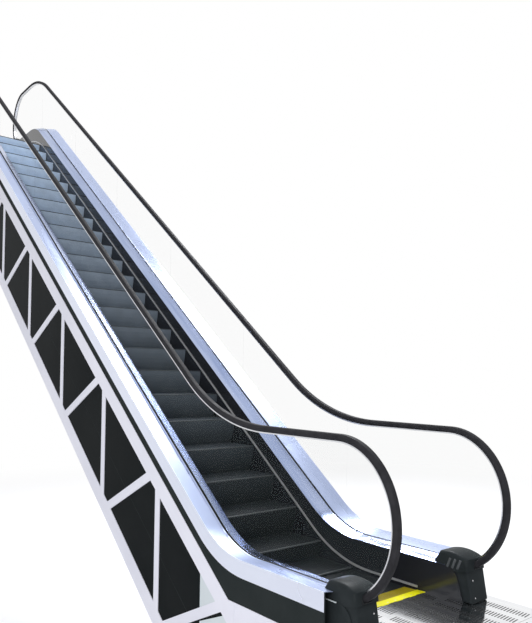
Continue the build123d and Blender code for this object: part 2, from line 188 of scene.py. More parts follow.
path = gn.new("ShaderNodeLightPath")
seen_floor = gn.new("ShaderNodeMath")
seen_floor.operation = "MAXIMUM"
amount = gn.new("ShaderNodeMath")
amount.operation = "MULTIPLY"
blend = gn.new("ShaderNodeMixShader")
gl.new(spot.outputs["Object"], away.inputs[0])
gl.new(away.outputs["Value"], fade.inputs["Value"])
gl.new(path.outputs["Is Camera Ray"], seen_floor.inputs[0])
gl.new(path.outputs["Is Glossy Ray"], seen_floor.inputs[1])
gl.new(seen_floor.outputs[0], amount.inputs[0])
gl.new(fade.outputs["Result"], amount.inputs[1])
gl.new(amount.outputs[0], blend.inputs[0])
gl.new(matt.outputs[0], blend.inputs[1])
gl.new(white.outputs[0], blend.inputs[2])
gl.new(blend.outputs[0], gn["Material Output"].inputs["Surface"])
ground.data.materials.append(ground_paint)


def lamp(name, place, target, size, power, tint=(1, 1, 1)):
    """A large square lamp that faces a point."""
    light = bpy.data.lights.new(name, "AREA")
    light.shape = "SQUARE"
    light.size = size
    light.energy = power
    light.color = tint
    holder = bpy.data.objects.new(name, light)
    bpy.context.scene.collection.objects.link(holder)
    holder.location = place
    holder.rotation_euler = (Vector(target) - Vector(place)).to_track_quat("-Z", "Y").to_euler()
    print(name, power, "W")


lamp("key_lamp", (-7, -3.6, 6.3), (0, 4, 1.5), 5, 580, (1.0, 0.99, 0.98))
lamp("deck_lamp", (6.6, 9.8, 9.9), (-0.6, 2.4, 0.45), 4, 900, (0.95, 0.97, 1.0))
lamp("top_lamp", (3.6, 6.5, 13), (0, 4, 2), 4, 450, (0.97, 0.98, 1.0))

# %% [markdown]
# ## One recipe for finishes
#
# A finish is never one flat colour: a coating varies a little in colour and gloss and
# has a fine grain. So every material comes from one recipe, in which a noise pattern
# in the piece's own coordinates drives colour, roughness and a second, finer noise the
# relief. `stretch` pulls the grain into streaks for brushed metal. Values that are the
# same all over are typed straight into the shader.

# %% The recipe
def finish(name, dark, pale, grain, rough, metallic=0.0, relief=0.0, relief_grain=100,
           stretch=(1, 1, 1), specular=0.5):
    """A material whose colour, gloss and relief vary a little with a grain pattern."""
    material = bpy.data.materials.new(name)
    material.use_nodes = True
    tree = material.node_tree
    shader = tree.nodes["Principled BSDF"]
    shader.inputs["Metallic"].default_value = metallic
    shader.inputs["Specular IOR Level"].default_value = specular
    where = tree.nodes.new("ShaderNodeTexCoord")
    pull = tree.nodes.new("ShaderNodeMapping")
    pull.inputs["Scale"].default_value = stretch
    noise = tree.nodes.new("ShaderNodeTexNoise")
    noise.inputs["Scale"].default_value = grain
    noise.inputs["Detail"].default_value = 5
    colours = tree.nodes.new("ShaderNodeValToRGB")
    colours.color_ramp.elements[0].position = 0.3
    colours.color_ramp.elements[0].color = (*dark, 1)
    colours.color_ramp.elements[1].position = 0.7
    colours.color_ramp.elements[1].color = (*pale, 1)
    gloss = tree.nodes.new("ShaderNodeMapRange")
    gloss.inputs["From Min"].default_value = 0.3
    gloss.inputs["From Max"].default_value = 0.7
    gloss.inputs["To Min"].default_value = rough[0]
    gloss.inputs["To Max"].default_value = rough[1]
    tree.links.new(where.outputs["Object"], pull.inputs["Vector"])
    tree.links.new(pull.outputs["Vector"], noise.inputs["Vector"])
    tree.links.new(noise.outputs["Fac"], colours.inputs["Fac"])
    tree.links.new(noise.outputs["Fac"], gloss.inputs["Value"])
    tree.links.new(colours.outputs["Color"], shader.inputs["Base Color"])
    tree.links.new(gloss.outputs["Result"], shader.inputs["Roughness"])
    if relief:
        fine = tree.nodes.new("ShaderNodeTexNoise")
        fine.inputs["Scale"].default_value = relief_grain
        bump = tree.nodes.new("ShaderNodeBump")
        bump.inputs["Strength"].default_value = relief
        bump.inputs["Distance"].default_value = 0.001
        tree.links.new(pull.outputs["Vector"], fine.inputs["Vector"])
        tree.links.new(fine.outputs["Fac"], bump.inputs["Height"])
        tree.links.new(bump.outputs["Normal"], shader.inputs["Normal"])
    print("mixed", name)
    return material


# %% [markdown]
# ## Paint, enamel, rubber and plastic
#
# The truss has a satin off-white paint with a touch of lilac, the panels in it a deep
# black enamel, and the moulded caps a fine grain. Blacks are kept a little above zero,
# because real black paint still returns some light. Where a dark sheet is seen at a low
# angle its mirror share is kept small, or it would only show the white room.

# %% Coatings
truss_paint = finish("truss paint", (0.66, 0.67, 0.77), (0.75, 0.76, 0.85), 1.2, (0.38, 0.52),
                     relief=0.15, relief_grain=260)
plate_grey = finish("plate grey", (0.55, 0.61, 0.65), (0.62, 0.68, 0.72), 1.6, (0.42, 0.55),
                    relief=0.12, relief_grain=220)
infill_black = finish("infill black", (0.009, 0.011, 0.012), (0.016, 0.018, 0.019), 0.9,
                      (0.16, 0.26), relief=0.05, relief_grain=6, specular=0.003)
lap_grey = finish("lap grey", (0.019, 0.024, 0.025), (0.028, 0.033, 0.034), 3, (0.4, 0.5),
                  specular=0.003)
skirt_dark = finish("skirt dark", (0.014, 0.015, 0.019), (0.022, 0.024, 0.029), 1.1, (0.08, 0.15),
                    relief=0.04, relief_grain=9, specular=0.42)
rubber_black = finish("rubber black", (0.018, 0.018, 0.021), (0.030, 0.030, 0.034), 14,
                      (0.50, 0.64), relief=0.04, relief_grain=200, specular=0.05)
gasket_black = finish("gasket black", (0.006, 0.007, 0.008), (0.012, 0.013, 0.015), 20, (0.45, 0.6),
                      relief=0.2, relief_grain=500, specular=0.25)
cap_black = finish("cap black", (0.016, 0.020, 0.022), (0.026, 0.031, 0.034), 7, (0.32, 0.46),
                   relief=0.1, relief_grain=300, specular=0.035)
# The grip ribs are paler than the cap: a painted highlight on the ridges.
grip_painted_highlight = finish("grip black", (0.060, 0.068, 0.074), (0.090, 0.098, 0.106), 9, (0.35, 0.5),
                    relief=0.1, relief_grain=300, specular=0.15)
comb_yellow = finish("comb yellow", (0.84, 0.78, 0.002), (0.93, 0.90, 0.004), 5, (0.34, 0.5),
                     relief=0.2, relief_grain=300, specular=0.14)
comb_teeth_yellow = finish("comb teeth yellow", (0.34, 0.27, 0.006), (0.46, 0.37, 0.010), 9,
                           (0.4, 0.55), relief=0.2, relief_grain=300, specular=0.3)

# %% [markdown]
# ## Metals
#
# The trims, the plates and the inner deck are metal, so their colour is the colour of their
# reflections; the blue of the inner deck is a painted reflection, put into its colour. The landing
# plates are nearly mirrors: where they reflect the dark skirts they look dark, and elsewhere white,
# which is what tells the eye they are steel.

# %% Metal finishes
# The blue of the inner deck is a painted reflection; the steel itself is grey.
deck_inner = finish("deck inner", (0.30, 0.37, 0.58), (0.47, 0.54, 0.74), 1.4, (0.12, 0.20),
                    metallic=0.95, relief=0.1, relief_grain=60, stretch=(9, 0.6, 0.6))
brush_metal = finish("brush metal", (0.56, 0.57, 0.59), (0.70, 0.71, 0.73), 9, (0.30, 0.42),
                     metallic=0.6, relief=0.1, relief_grain=200, stretch=(1, 0.1, 0.1))
guide_metal = finish("guide metal", (0.60, 0.61, 0.64), (0.74, 0.75, 0.78), 9, (0.16, 0.28),
                     metallic=1.0, relief=0.05, relief_grain=200)
plate_metal = finish("plate metal", (0.80, 0.81, 0.83), (0.90, 0.91, 0.92), 3, (0.09, 0.16),
                     metallic=1.0, relief=0.04, relief_grain=90, stretch=(5, 0.4, 1))
steel_inner = finish("steel inner", (0.22, 0.22, 0.23), (0.34, 0.34, 0.35), 6, (0.45, 0.6),
                     metallic=0.9, relief=0.2, relief_grain=150)
screw_steel = finish("screw steel", (0.50, 0.50, 0.52), (0.66, 0.66, 0.68), 60, (0.25, 0.4),
                     metallic=1.0, relief=0.1, relief_grain=900)


# %% [markdown]
# ## Finishes and painted light that change along a piece
#
# The outer deck is one bent sheet with a paler fascia, and the bluish tint of its brushed top is a
# painted reflection; the steps are painted from near black at the foot to pale blue grey up the
# flight, a painted shade and light, and their nose trims are painted from a pale highlight at the
# foot to darker lines towards the top. A ramp on one of the object's own coordinates does all
# three: it picks between two colours and the grain is multiplied over them.

# %% Finish along a coordinate
def graded(material, axis, low, high, first, second, away=False, curve=1.0):
    """Multiply a material's grain by a ramp of two colours along one coordinate.

    `away` counts the coordinate from the middle to both sides, and `curve` eases the ramp.
    """
    tree = material.node_tree
    shader = tree.nodes["Principled BSDF"]
    grain_colour = shader.inputs["Base Color"].links[0].from_socket
    where = next(node for node in tree.nodes if node.type == "TEX_COORD")
    split = tree.nodes.new("ShaderNodeSeparateXYZ")
    tree.links.new(where.outputs["Object"], split.inputs["Vector"])
    along = split.outputs[axis]
    if away:
        size = tree.nodes.new("ShaderNodeMath")
        size.operation = "ABSOLUTE"
        tree.links.new(along, size.inputs[0])
        along = size.outputs[0]
    share = tree.nodes.new("ShaderNodeMapRange")
    share.inputs["From Min"].default_value = low
    share.inputs["From Max"].default_value = high
    eased = tree.nodes.new("ShaderNodeMath")
    eased.operation = "POWER"
    eased.inputs[1].default_value = curve
    ramp = tree.nodes.new("ShaderNodeValToRGB")
    ramp.color_ramp.elements[0].color = (*first, 1)
    ramp.color_ramp.elements[1].color = (*second, 1)
    product = tree.nodes.new("ShaderNodeMix")
    product.data_type = "RGBA"
    product.blend_type = "MULTIPLY"
    product.inputs["Factor"].default_value = 1.0
    tree.links.new(along, share.inputs["Value"])
    tree.links.new(share.outputs["Result"], eased.inputs[0])
    tree.links.new(eased.outputs[0], ramp.inputs["Fac"])
    tree.links.new(ramp.outputs["Color"], product.inputs[6])
    tree.links.new(grain_colour, product.inputs[7])
    tree.links.new(product.outputs[2], shader.inputs["Base Color"])


# The fascia is pale; the blue grey of the deck's top is a painted reflection, put into its colour.
deck_white = finish("deck white", (0.90, 0.90, 0.92), (1, 1, 1), 0.7, (0.24, 0.36),
                    metallic=0.55, relief=0.05, relief_grain=30, specular=0.5, stretch=(6, 1, 1))
graded(deck_white, "X", SIDE_X - 0.006, SIDE_X - 0.002, (0.39, 0.46, 0.66), (0.74, 0.78, 0.90),
       away=True)
step_metal_painted_light = finish("step metal", (0.82, 0.82, 0.82), (1, 1, 1), 9, (0.45, 0.58),
                    relief=0.08, relief_grain=160, specular=0.12)
# Painted light: the steps run from near black at the foot to pale blue grey at the top, standing in
# for how light falls on the flight.
graded(step_metal_painted_light, "Z", 0.35, 4.9, (0.018, 0.021, 0.024), (0.62, 0.75, 0.92), curve=1.5)
nose_painted_light = finish("nose metal", (0.8, 0.8, 0.8), (1, 1, 1), 18, (0.36, 0.5),
                    relief=0.1, relief_grain=420, specular=0.3)
# Painted light: the nose trims are a pale painted highlight at the foot and grow darker up the
# flight.
graded(nose_painted_light, "Z", 0.5, 3.2, (0.072, 0.080, 0.086), (0.030, 0.040, 0.050))

# %% [markdown]
# ## Glass
#
# The panes are clear, and against a white room almost nothing of them shows but a little
# gloss. They are made by a low alpha and not by transmission, because lamps shine
# straight through such a surface, and the handrails and steps behind it stay lit.

# %% Clear glass
GLASS_ALPHA = 0.025
glass_clear = finish("clear glass", (0.10, 0.14, 0.14), (0.14, 0.18, 0.18), 2, (0.02, 0.05),
                     specular=0.3)
glass_clear.node_tree.nodes["Principled BSDF"].inputs["Alpha"].default_value = GLASS_ALPHA

# %% [markdown]
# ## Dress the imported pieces
#
# A piece whose shape is right only needs its material slot filled. The start of its
# name says what it is, and the longest start that fits is the one that counts.

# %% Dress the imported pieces
FINISHES = {
    "handrail_guide": guide_metal, "handrail": rubber_black,
    "glass_clamp": gasket_black, "glass": glass_clear,
    "skirt_brush": brush_metal, "skirt": skirt_dark,
    "comb_plate": plate_metal, "comb": comb_yellow,
    "newel_cap": cap_black, "outer_deck": deck_white, "inner_deck": deck_inner,
    "deck_apron": lap_grey, "side_infill": infill_black, "side_plate": plate_grey,
    "truss": truss_paint, "soffit": truss_paint, "end_plates": truss_paint,
    "support_angle": truss_paint, "floor_covers": plate_metal, "steps": step_metal_painted_light,
    "step_rails": steel_inner, "cross_beams": steel_inner,
}
for name, node in nodes.items():
    start = max((known for known in FINISHES if name.startswith(known)), key=len)
    node.data.materials.clear()
    node.data.materials.append(FINISHES[start])
print("dressed", len(nodes), "pieces")


# %% [markdown]
# ## Handling pieces
#
# An operator works on all that is selected, and loading leaves every piece selected. So
# `alone` clears the selection first, `block` adds a box between two corners to start
# from, and `pick` selects the faces of the piece in edit mode that pass a test.

# %% Selecting and starting
def alone(*pieces):
    """Select only these pieces, the last of them as the active one."""
    if bpy.context.object and bpy.context.object.mode != "OBJECT":
        bpy.ops.object.mode_set(mode="OBJECT")
    bpy.ops.object.select_all(action="DESELECT")
    for piece in pieces:
        piece.select_set(True)
        bpy.context.view_layer.objects.active = piece


def block(name, low, high):
    """A box primitive between two corners, for shaping further."""
    alone()
    bpy.ops.mesh.primitive_cube_add(size=1, location=[(a + b) / 2 for a, b in zip(low, high)])
    piece = bpy.context.object
    piece.name = name
    piece.scale = [b - a for a, b in zip(low, high)]
    bpy.ops.object.transform_apply(location=True, rotation=True, scale=True)
    return piece


def pick(piece, test):
    """Open a piece in edit mode with only the faces selected that pass a test."""
    alone(piece)
    bpy.ops.object.mode_set(mode="EDIT")
    bpy.ops.mesh.select_mode(type="FACE")
    bpy.ops.mesh.select_all(action="DESELECT")
    shape = bmesh.from_edit_mesh(piece.data)
    for face in shape.faces:
        face.select_set(test(face))
    bmesh.update_edit_mesh(piece.data)


# %% [markdown]
# ## Finishing and repeating pieces
#
# Real edges are never sharp: `soften` rounds them with a bevel that is then applied.
# `row` repeats a piece at even steps, `copies_at` at chosen places, `cut` takes off what lies ahead
# of a plane, and `done` gives a finished piece its material and the body it rides on.

# %% Finishing and repeating
def applied(piece, modifier):
    """Apply one modifier of a piece."""
    alone(piece)
    bpy.ops.object.modifier_apply(modifier=modifier.name)


SHARP_TURN = math.radians(25)
MERGE_DISTANCE = 0.00002
FINE_ROUND, MOULDED_ROUND = 0.0008, 0.0015


def soften(piece, width, segments=2, smooth=35, flat=True):
    """Round the sharp edges of a piece, shade small turns smooth and keep flat faces flat."""
    rounding = piece.modifiers.new("round edges", "BEVEL")
    rounding.width = width
    rounding.segments = segments
    rounding.limit_method = "ANGLE"
    rounding.angle_limit = SHARP_TURN
    applied(piece, rounding)
    bpy.ops.object.shade_smooth_by_angle(angle=math.radians(smooth))
    if flat:
        level = piece.modifiers.new("flat faces stay flat", "WEIGHTED_NORMAL")
        level.keep_sharp = True
        applied(piece, level)


def row(piece, step, count):
    """Repeat a piece in a row of even steps."""
    spread = piece.modifiers.new("row", "ARRAY")
    spread.use_relative_offset = False
    spread.use_constant_offset = True
    spread.constant_offset_displace = step
    spread.count = count
    applied(piece, spread)


def joined(name, pieces):
    """Make several pieces one object."""
    alone(*pieces)
    bpy.ops.object.join()
    bpy.context.object.name = name
    return bpy.context.object


def copied(piece, name, matrix=Matrix()):
    """A copy of a piece with its own mesh, moved by a matrix."""
    alone(piece)
    bpy.ops.object.duplicate()
    copy = bpy.context.object
    copy.name = name
    copy.data.transform(matrix)
    return copy


def copies_at(piece, name, spots):
    """One piece made of a copy at each spot; the pattern itself goes."""
    spread = [copied(piece, name, Matrix.Translation(spot)) for spot in spots]
    bpy.data.objects.remove(piece)
    return joined(name, spread)


def outward(piece):
    """Merge doubles and point all faces outwards."""
    alone(piece)
    bpy.ops.object.mode_set(mode="EDIT")
    bpy.ops.mesh.select_all(action="SELECT")
    bpy.ops.mesh.remove_doubles(threshold=MERGE_DISTANCE)
    bpy.ops.mesh.normals_make_consistent(inside=False)
    bpy.ops.object.mode_set(mode="OBJECT")


def mirrored(piece, name, axis=(1, 0, 0)):
    """A mirror image of a piece across a plane through the origin, with its faces outwards."""
    copy = copied(piece, name, Matrix.Scale(-1, 4, axis))
    outward(copy)
    return copy


def cut(piece, place, direction):
    """Cut a piece by a plane, drop what lies ahead of it and close the cut."""
    pick(piece, lambda face: True)
    bpy.ops.mesh.bisect(plane_co=place, plane_no=direction, use_fill=True, clear_outer=True)
    bpy.ops.object.mode_set(mode="OBJECT")


def done(piece, coat):
    """Give a finished piece its material and its body."""
    piece.data.materials.clear()
    piece.data.materials.append(coat)
    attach(piece, "root")
    print(piece.name, sum(len(face.vertices) - 2 for face in piece.data.polygons), "triangles")


# %% [markdown]
# ## Where the steps are
#
# Each node of steps holds several separate castings, and the cleats need the place of
# every nose. The noses are read from the solids: a casting is one island of linked
# vertices, and its nose is its lowest Y and highest Z.

# %% Find the noses
def noses_of(node):
    """The nose of every step in a node, from the lowest up."""
    shape = bmesh.new()
    shape.from_mesh(node.data)
    bmesh.ops.remove_doubles(shape, verts=shape.verts, dist=MERGE_DISTANCE)
    left = set(shape.verts)
    found = []
    while left:
        reached = {left.pop()}
        to_visit = list(reached)
        while to_visit:
            for edge in to_visit.pop().link_edges:
                for vert in edge.verts:
                    if vert in left:
                        left.discard(vert)
                        reached.add(vert)
                        to_visit.append(vert)
        found.append((0, min(v.co.y for v in reached), max(v.co.z for v in reached)))
    shape.free()
    return sorted(found, key=lambda spot: spot[1])


STEP_NODES = sorted(name for name in nodes if name.startswith("steps_"))
step_noses = {name: noses_of(nodes[name]) for name in STEP_NODES}
print("noses", [len(spots) for spots in step_noses.values()])

# %% [markdown]
# ## Cleats
#
# A tread is ribbed along its length and the ribs run down the riser, so that they mesh
# with the comb and with the step behind. One rib is a bar along the tread; its front
# end is extruded forward by the rib's own height, and the underside of that nub is spun
# about the tread's rear edge, which is how the curved riser itself is drawn. The rib is
# then set in a row across the step, and the row copied to every nose.

# %% One rib
RIB_HEIGHT = 0.003
RIB_WIDTH = 0.0045
RIB_PITCH = 0.009
RISER_SWEEP = math.radians(37)
RISER_PARTS = 5
ribs_across = int(STEP_WIDTH / RIB_PITCH) - 1
first_rib = -RIB_PITCH * (ribs_across - 1) / 2
rib = block("rib", (first_rib - RIB_WIDTH / 2, 0, 0),
            (first_rib + RIB_WIDTH / 2, TREAD_DEPTH, RIB_HEIGHT))
pick(rib, lambda face: face.normal.y < -0.9)
bpy.ops.mesh.extrude_region_move(TRANSFORM_OT_translate={"value": (0, -RIB_HEIGHT, 0)})
pick(rib, lambda face: face.normal.z < -0.9 and face.calc_center_median().y < 0)
bpy.ops.mesh.spin(steps=RISER_PARTS, angle=-RISER_SWEEP, center=(first_rib, TREAD_DEPTH, 0),
                  axis=(1, 0, 0))
bpy.ops.object.mode_set(mode="OBJECT")
outward(rib)
print("one rib", len(rib.data.polygons), "faces,", ribs_across, "across a step")

# %% Ribs on every step
row(rib, (RIB_PITCH, 0, 0), ribs_across)
for name in STEP_NODES:
    pattern = copied(rib, "cleats")
    cleats = copies_at(pattern, name + "_cleats", step_noses[name])
    done(cleats, step_metal_painted_light)
bpy.data.objects.remove(rib)

# %% [markdown]
# ## Nose trims
#
# Along each nose runs a slim trim whose colour is painted light: a pale painted highlight at the
# foot of the dark flight, darkening to thin dark lines higher up. It is a box with its front face
# pushed down over the nose, softened, and a hair taller than the ribs so that they die into it.

# %% Nose trims
TRIM_DEPTH = 0.009
TRIM_HEIGHT = 0.0034
TRIM_LIP = 0.006
TRIM_SIDE_GAP = 0.002
trim_half = STEP_WIDTH / 2 - TRIM_SIDE_GAP
trim = block("trim", (-trim_half, 0, 0), (trim_half, TRIM_DEPTH, TRIM_HEIGHT))
pick(trim, lambda face: face.normal.y < -0.9)
bpy.ops.mesh.extrude_region_move(TRANSFORM_OT_translate={"value": (0, -TRIM_HEIGHT, 0)})
pick(trim, lambda face: face.normal.z < -0.9 and face.calc_center_median().y < 0)
bpy.ops.mesh.extrude_region_move(TRANSFORM_OT_translate={"value": (0, 0, -TRIM_LIP)})
bpy.ops.object.mode_set(mode="OBJECT")
soften(trim, FINE_ROUND)
trims = copies_at(trim, "nose_trims", [spot for spots in step_noses.values() for spot in spots])
done(trims, nose_painted_light)

# %% [markdown]
# ## Combs
#
# At each landing a yellow comb lifts shoes off the steps: a sloping body in short
# sections that can be changed when a tooth breaks, and a tooth between every two ribs.
# The body section is a box whose front top edge is lowered; the tooth is a box whose
# tip is drawn in. Both are set in rows. The upper comb is the lower one mirrored.

# %% Comb body
comb_low, comb_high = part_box("comb_lower")
COMB_WIDTH = comb_high[0] - comb_low[0]
BODY_LAP = 0.032
BODY_DEPTH = 0.078
BACK_RAISE, FRONT_DROP = 0.0022, 0.0018
SECTIONS = 5
SECTION_GAP = 0.001
section_width = COMB_WIDTH / SECTIONS
body_back, body_front = comb_low[1] - BODY_LAP, comb_low[1] - BODY_LAP + BODY_DEPTH
body_back_height, body_front_height = comb_high[2] + BACK_RAISE, comb_high[2] - FRONT_DROP
section = block("section", (comb_low[0] + SECTION_GAP / 2, body_back, comb_low[2]),
                (comb_low[0] + section_width - SECTION_GAP / 2, body_front, body_back_height))
for vert in section.data.vertices:
    if vert.co.y > body_front - 0.001 and vert.co.z > comb_low[2] + 0.001:
        vert.co.z = body_front_height
soften(section, FINE_ROUND)
row(section, (section_width, 0, 0), SECTIONS)
section.name = "comb_body_lower"

# %% Comb teeth
TOOTH_WIDTH = 0.0036
TIP_WIDTH_SHARE, TIP_HEIGHT_SHARE = 0.55, 0.45
COMB_SIDE_GAP = 0.003
tooth_x = first_rib + RIB_PITCH / 2
tooth = block("tooth", (tooth_x - TOOTH_WIDTH / 2, body_front - 0.002, comb_low[2]),
              (tooth_x + TOOTH_WIDTH / 2, comb_high[1], body_front_height))
pick(tooth, lambda face: face.normal.y > 0.9)
tip = (tooth_x, comb_high[1], comb_low[2])
bpy.ops.transform.resize(value=(TIP_WIDTH_SHARE, 1, TIP_HEIGHT_SHARE), center_override=tip)
bpy.ops.object.mode_set(mode="OBJECT")
teeth_across = int((COMB_WIDTH - 2 * COMB_SIDE_GAP) / RIB_PITCH)
row(tooth, (RIB_PITCH, 0, 0), min(teeth_across, ribs_across - 1))
tooth.name = "comb_teeth_lower"

# %% Screws in the comb
SOCKET_RIM_SHARE, SOCKET_DEPTH_SHARE = 0.45, 0.6


def screw_head(name, place, radius=0.006, height=0.0012, turn=(0, 0, 0)):
    """A low countersunk head with a socket pressed into it."""
    alone()
    bpy.ops.mesh.primitive_cylinder_add(vertices=16, radius=radius, depth=height)
    head = bpy.context.object
    head.name = name
    pick(head, lambda face: face.normal.z > 0.9)
    bpy.ops.mesh.inset(thickness=radius * SOCKET_RIM_SHARE)
    socket_floor = (0, 0, -height * SOCKET_DEPTH_SHARE)
    bpy.ops.mesh.extrude_region_move(TRANSFORM_OT_translate={"value": socket_floor})
    bpy.ops.object.mode_set(mode="OBJECT")
    head.rotation_euler = turn
    head.location = place
    bpy.ops.object.transform_apply(location=True, rotation=True, scale=True)
    bpy.ops.object.shade_smooth_by_angle(angle=math.radians(35))
    return head


SCREW_SETBACK = 0.022
SCREW_SHARES = (0.22, 0.78)
fall = (body_back_height - body_front_height) / BODY_DEPTH
screw = screw_head("screw", (0, body_back + SCREW_SETBACK, body_back_height - SCREW_SETBACK * fall))
spots = [(comb_low[0] + section_width * (number + share), 0, 0)
         for number in range(SECTIONS) for share in SCREW_SHARES]
comb_screws = copies_at(screw, "comb_screws_lower", spots)

# %% Both combs in place
def at_upper_end(piece, name, like):
    """The upper landing's twin of a piece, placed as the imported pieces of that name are."""
    lower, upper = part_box(like.replace("*", "lower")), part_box(like.replace("*", "upper"))
    twin = mirrored(piece, name, axis=(0, 1, 0))
    shift = (0, lower[0][1] + upper[1][1], upper[0][2] - lower[0][2])
    twin.data.transform(Matrix.Translation(shift))
    return twin


for piece, coat, slot in ((section, comb_yellow, "comb_yellow"),
                          (tooth, comb_teeth_yellow, "comb_yellow"),
                          (comb_screws, screw_steel, "steel_inner")):
    upper = at_upper_end(piece, piece.name.replace("lower", "upper"), "comb_*")
    done(piece, coat)
    done(upper, coat)
    if slot == "comb_yellow":
        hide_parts("comb_lower")
        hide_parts("comb_upper")


# %% [markdown]
# ## Softened copies
#
# The handrail, the outer decks and the truss have rounded edges that catch a line of
# light. A loaded mesh is loose triangles, so a copy is merged first and its flat faces
# made whole; then a bevel rounds the edges that turn sharply, and the copy stands for the
# piece it was made from. The belt's copy is also slimmed to the width that the photo shows.

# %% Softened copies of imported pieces
def softened(name, width, segments, coat, smooth=35, flat=True):
    """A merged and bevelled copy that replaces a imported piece."""
    copy = copied(nodes[name], name + "_soft")
    outward(copy)
    bpy.ops.object.mode_set(mode="EDIT")
    bpy.ops.mesh.select_all(action="SELECT")
    bpy.ops.mesh.tris_convert_to_quads(face_threshold=math.radians(1),
                                       shape_threshold=math.radians(170))
    bpy.ops.object.mode_set(mode="OBJECT")
    soften(copy, width, segments, smooth, flat)
    done(copy, coat)
    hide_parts(name)
    return copy


def spread_across(piece, middle, size):
    """Make a piece wider or slimmer across the flight, about a distance from the middle."""
    about = Matrix.Translation((middle, 0, 0))
    piece.data.transform(about @ Matrix.Scale(size, 4, (1, 0, 0)) @ about.inverted())


BELT_SPREAD = 0.80
EDGE_ROUND, DECK_EDGE_ROUND = 0.003, 0.0018
for side, sign in SIDES:
    belt = softened("handrail_" + side, EDGE_ROUND, 2, rubber_black,
                    smooth=50, flat=False)
    spread_across(belt, sign * RAIL_X, BELT_SPREAD)
    for part in ("truss_lower_", "truss_incline_", "truss_upper_"):
        softened(part + side, EDGE_ROUND, 2, truss_paint)
    softened("outer_deck_" + side, DECK_EDGE_ROUND, 2, deck_white)

# %% [markdown]
# ## The decks' cross fall and the top chord
#
# Seen across, the deck is not level: its edge at the glass lies lower than its outer
# edge, a little on the landings and more on the slope, so that water and dust run inwards
# and the inner deck shows beyond the glass. The inner deck meets the skirt a little
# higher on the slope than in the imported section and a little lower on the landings. In
# copies these edges are moved, by a share that grows smoothly through each bend. The top
# chord is a little slimmer on the slope as well: moving the two kinks of its upper edge
# along the flight lowers all that lies between them, and the dark apron's foot follows.

# %% Move the edges of the decks and the chord
FALL_LANDING, FALL_FLIGHT = 0.022, 0.048
RISE_LANDING, RISE_FLIGHT = -0.009, 0.020
CHORD_LANDING, CHORD_FLIGHT = -0.015, 0.084
CHORD_SHIFT = 0.040
CHORD_KINKS = [(RUN_START + (floor + CHORD_LANDING - CHORD_FLIGHT) / SLOPE,
                FLOOR + floor + CHORD_LANDING) for floor in (0, RISE)]
BEND_HALF = 0.45
DECK_SIDE, FASCIA_SIDE = 0.45, 0.60
SKIRT_FOOT, SKIRT_EASE = 0.012, 0.1
CORNER_REACH = 0.02


def between_ends(along, landing, flight):
    """A value that is one thing on the landings and another on the slope."""
    share = 1.0
    for turn, way in ((RUN_START, 1), (RUN_END, -1)):
        part = min(max((way * (along - turn) + BEND_HALF) / (2 * BEND_HALF), 0), 1)
        share *= part * part * (3 - 2 * part)
    return landing + (flight - landing) * share


def lower_at_glass(piece):
    """Lower the part of a deck piece that lies near the glass."""
    for vert in piece.data.vertices:
        if DECK_SIDE < abs(vert.co.x) < FASCIA_SIDE:
            vert.co.z -= between_ends(vert.co.y, FALL_LANDING, FALL_FLIGHT)


def shift_at_skirt(piece):
    """Shift the edge where inner deck and skirt meet, and leave the skirt's foot."""
    for vert in piece.data.vertices:
        run = min(max(vert.co.y - RUN_START, 0), RUN_END - RUN_START)
        height = vert.co.z - FLOOR - run * SLOPE
        if abs(vert.co.x) < DECK_SIDE and height > SKIRT_FOOT:
            reached = min((height - SKIRT_FOOT) / SKIRT_EASE, 1)
            vert.co.z += reached * between_ends(vert.co.y, RISE_LANDING, RISE_FLIGHT)


def slim_chord(piece):
    """Move the kinks of the top chord's upper edge, so that its sloping part lies lower."""
    moved = 0
    for vert in piece.data.vertices:
        if any(abs(vert.co.y - along) < CORNER_REACH and abs(vert.co.z - up) < CORNER_REACH
               for along, up in CHORD_KINKS):
            vert.co.y += CHORD_SHIFT
            moved += 1
    print(piece.name, moved, "corners moved")


for side in ("left", "right"):
    slim_chord(bpy.data.objects["truss_incline_" + side + "_soft"])
    apron = copied(nodes["deck_apron_" + side], "deck_apron_" + side + "_trued")
    outward(apron)
    slim_chord(apron)
    done(apron, lap_grey)
    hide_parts("deck_apron_" + side)
    lower_at_glass(bpy.data.objects["outer_deck_" + side + "_soft"])
    for start, coat, slot in (("inner_deck_", deck_inner, "deck_inner"),
                              ("skirt_", skirt_dark, "skirt_dark")):
        trued = copied(nodes[start + side], start + side + "_trued")
        outward(trued)
        lower_at_glass(trued)
        shift_at_skirt(trued)
        done(trued, coat)
        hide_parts(start + side)

# %% [markdown]
# ## Newel caps
#
# Where the handrail turns back into the balustrade a moulded cap closes it in. It has a
# column on the floor plate and a crowned hood that lies over the ends of the decks. The
# hood is a flattened cylinder cut by four planes: one behind, two that meet in a crease
# below and one in front. Its two ends are extruded and drawn in step by step, which
# rounds its shoulders as a moulding's are.

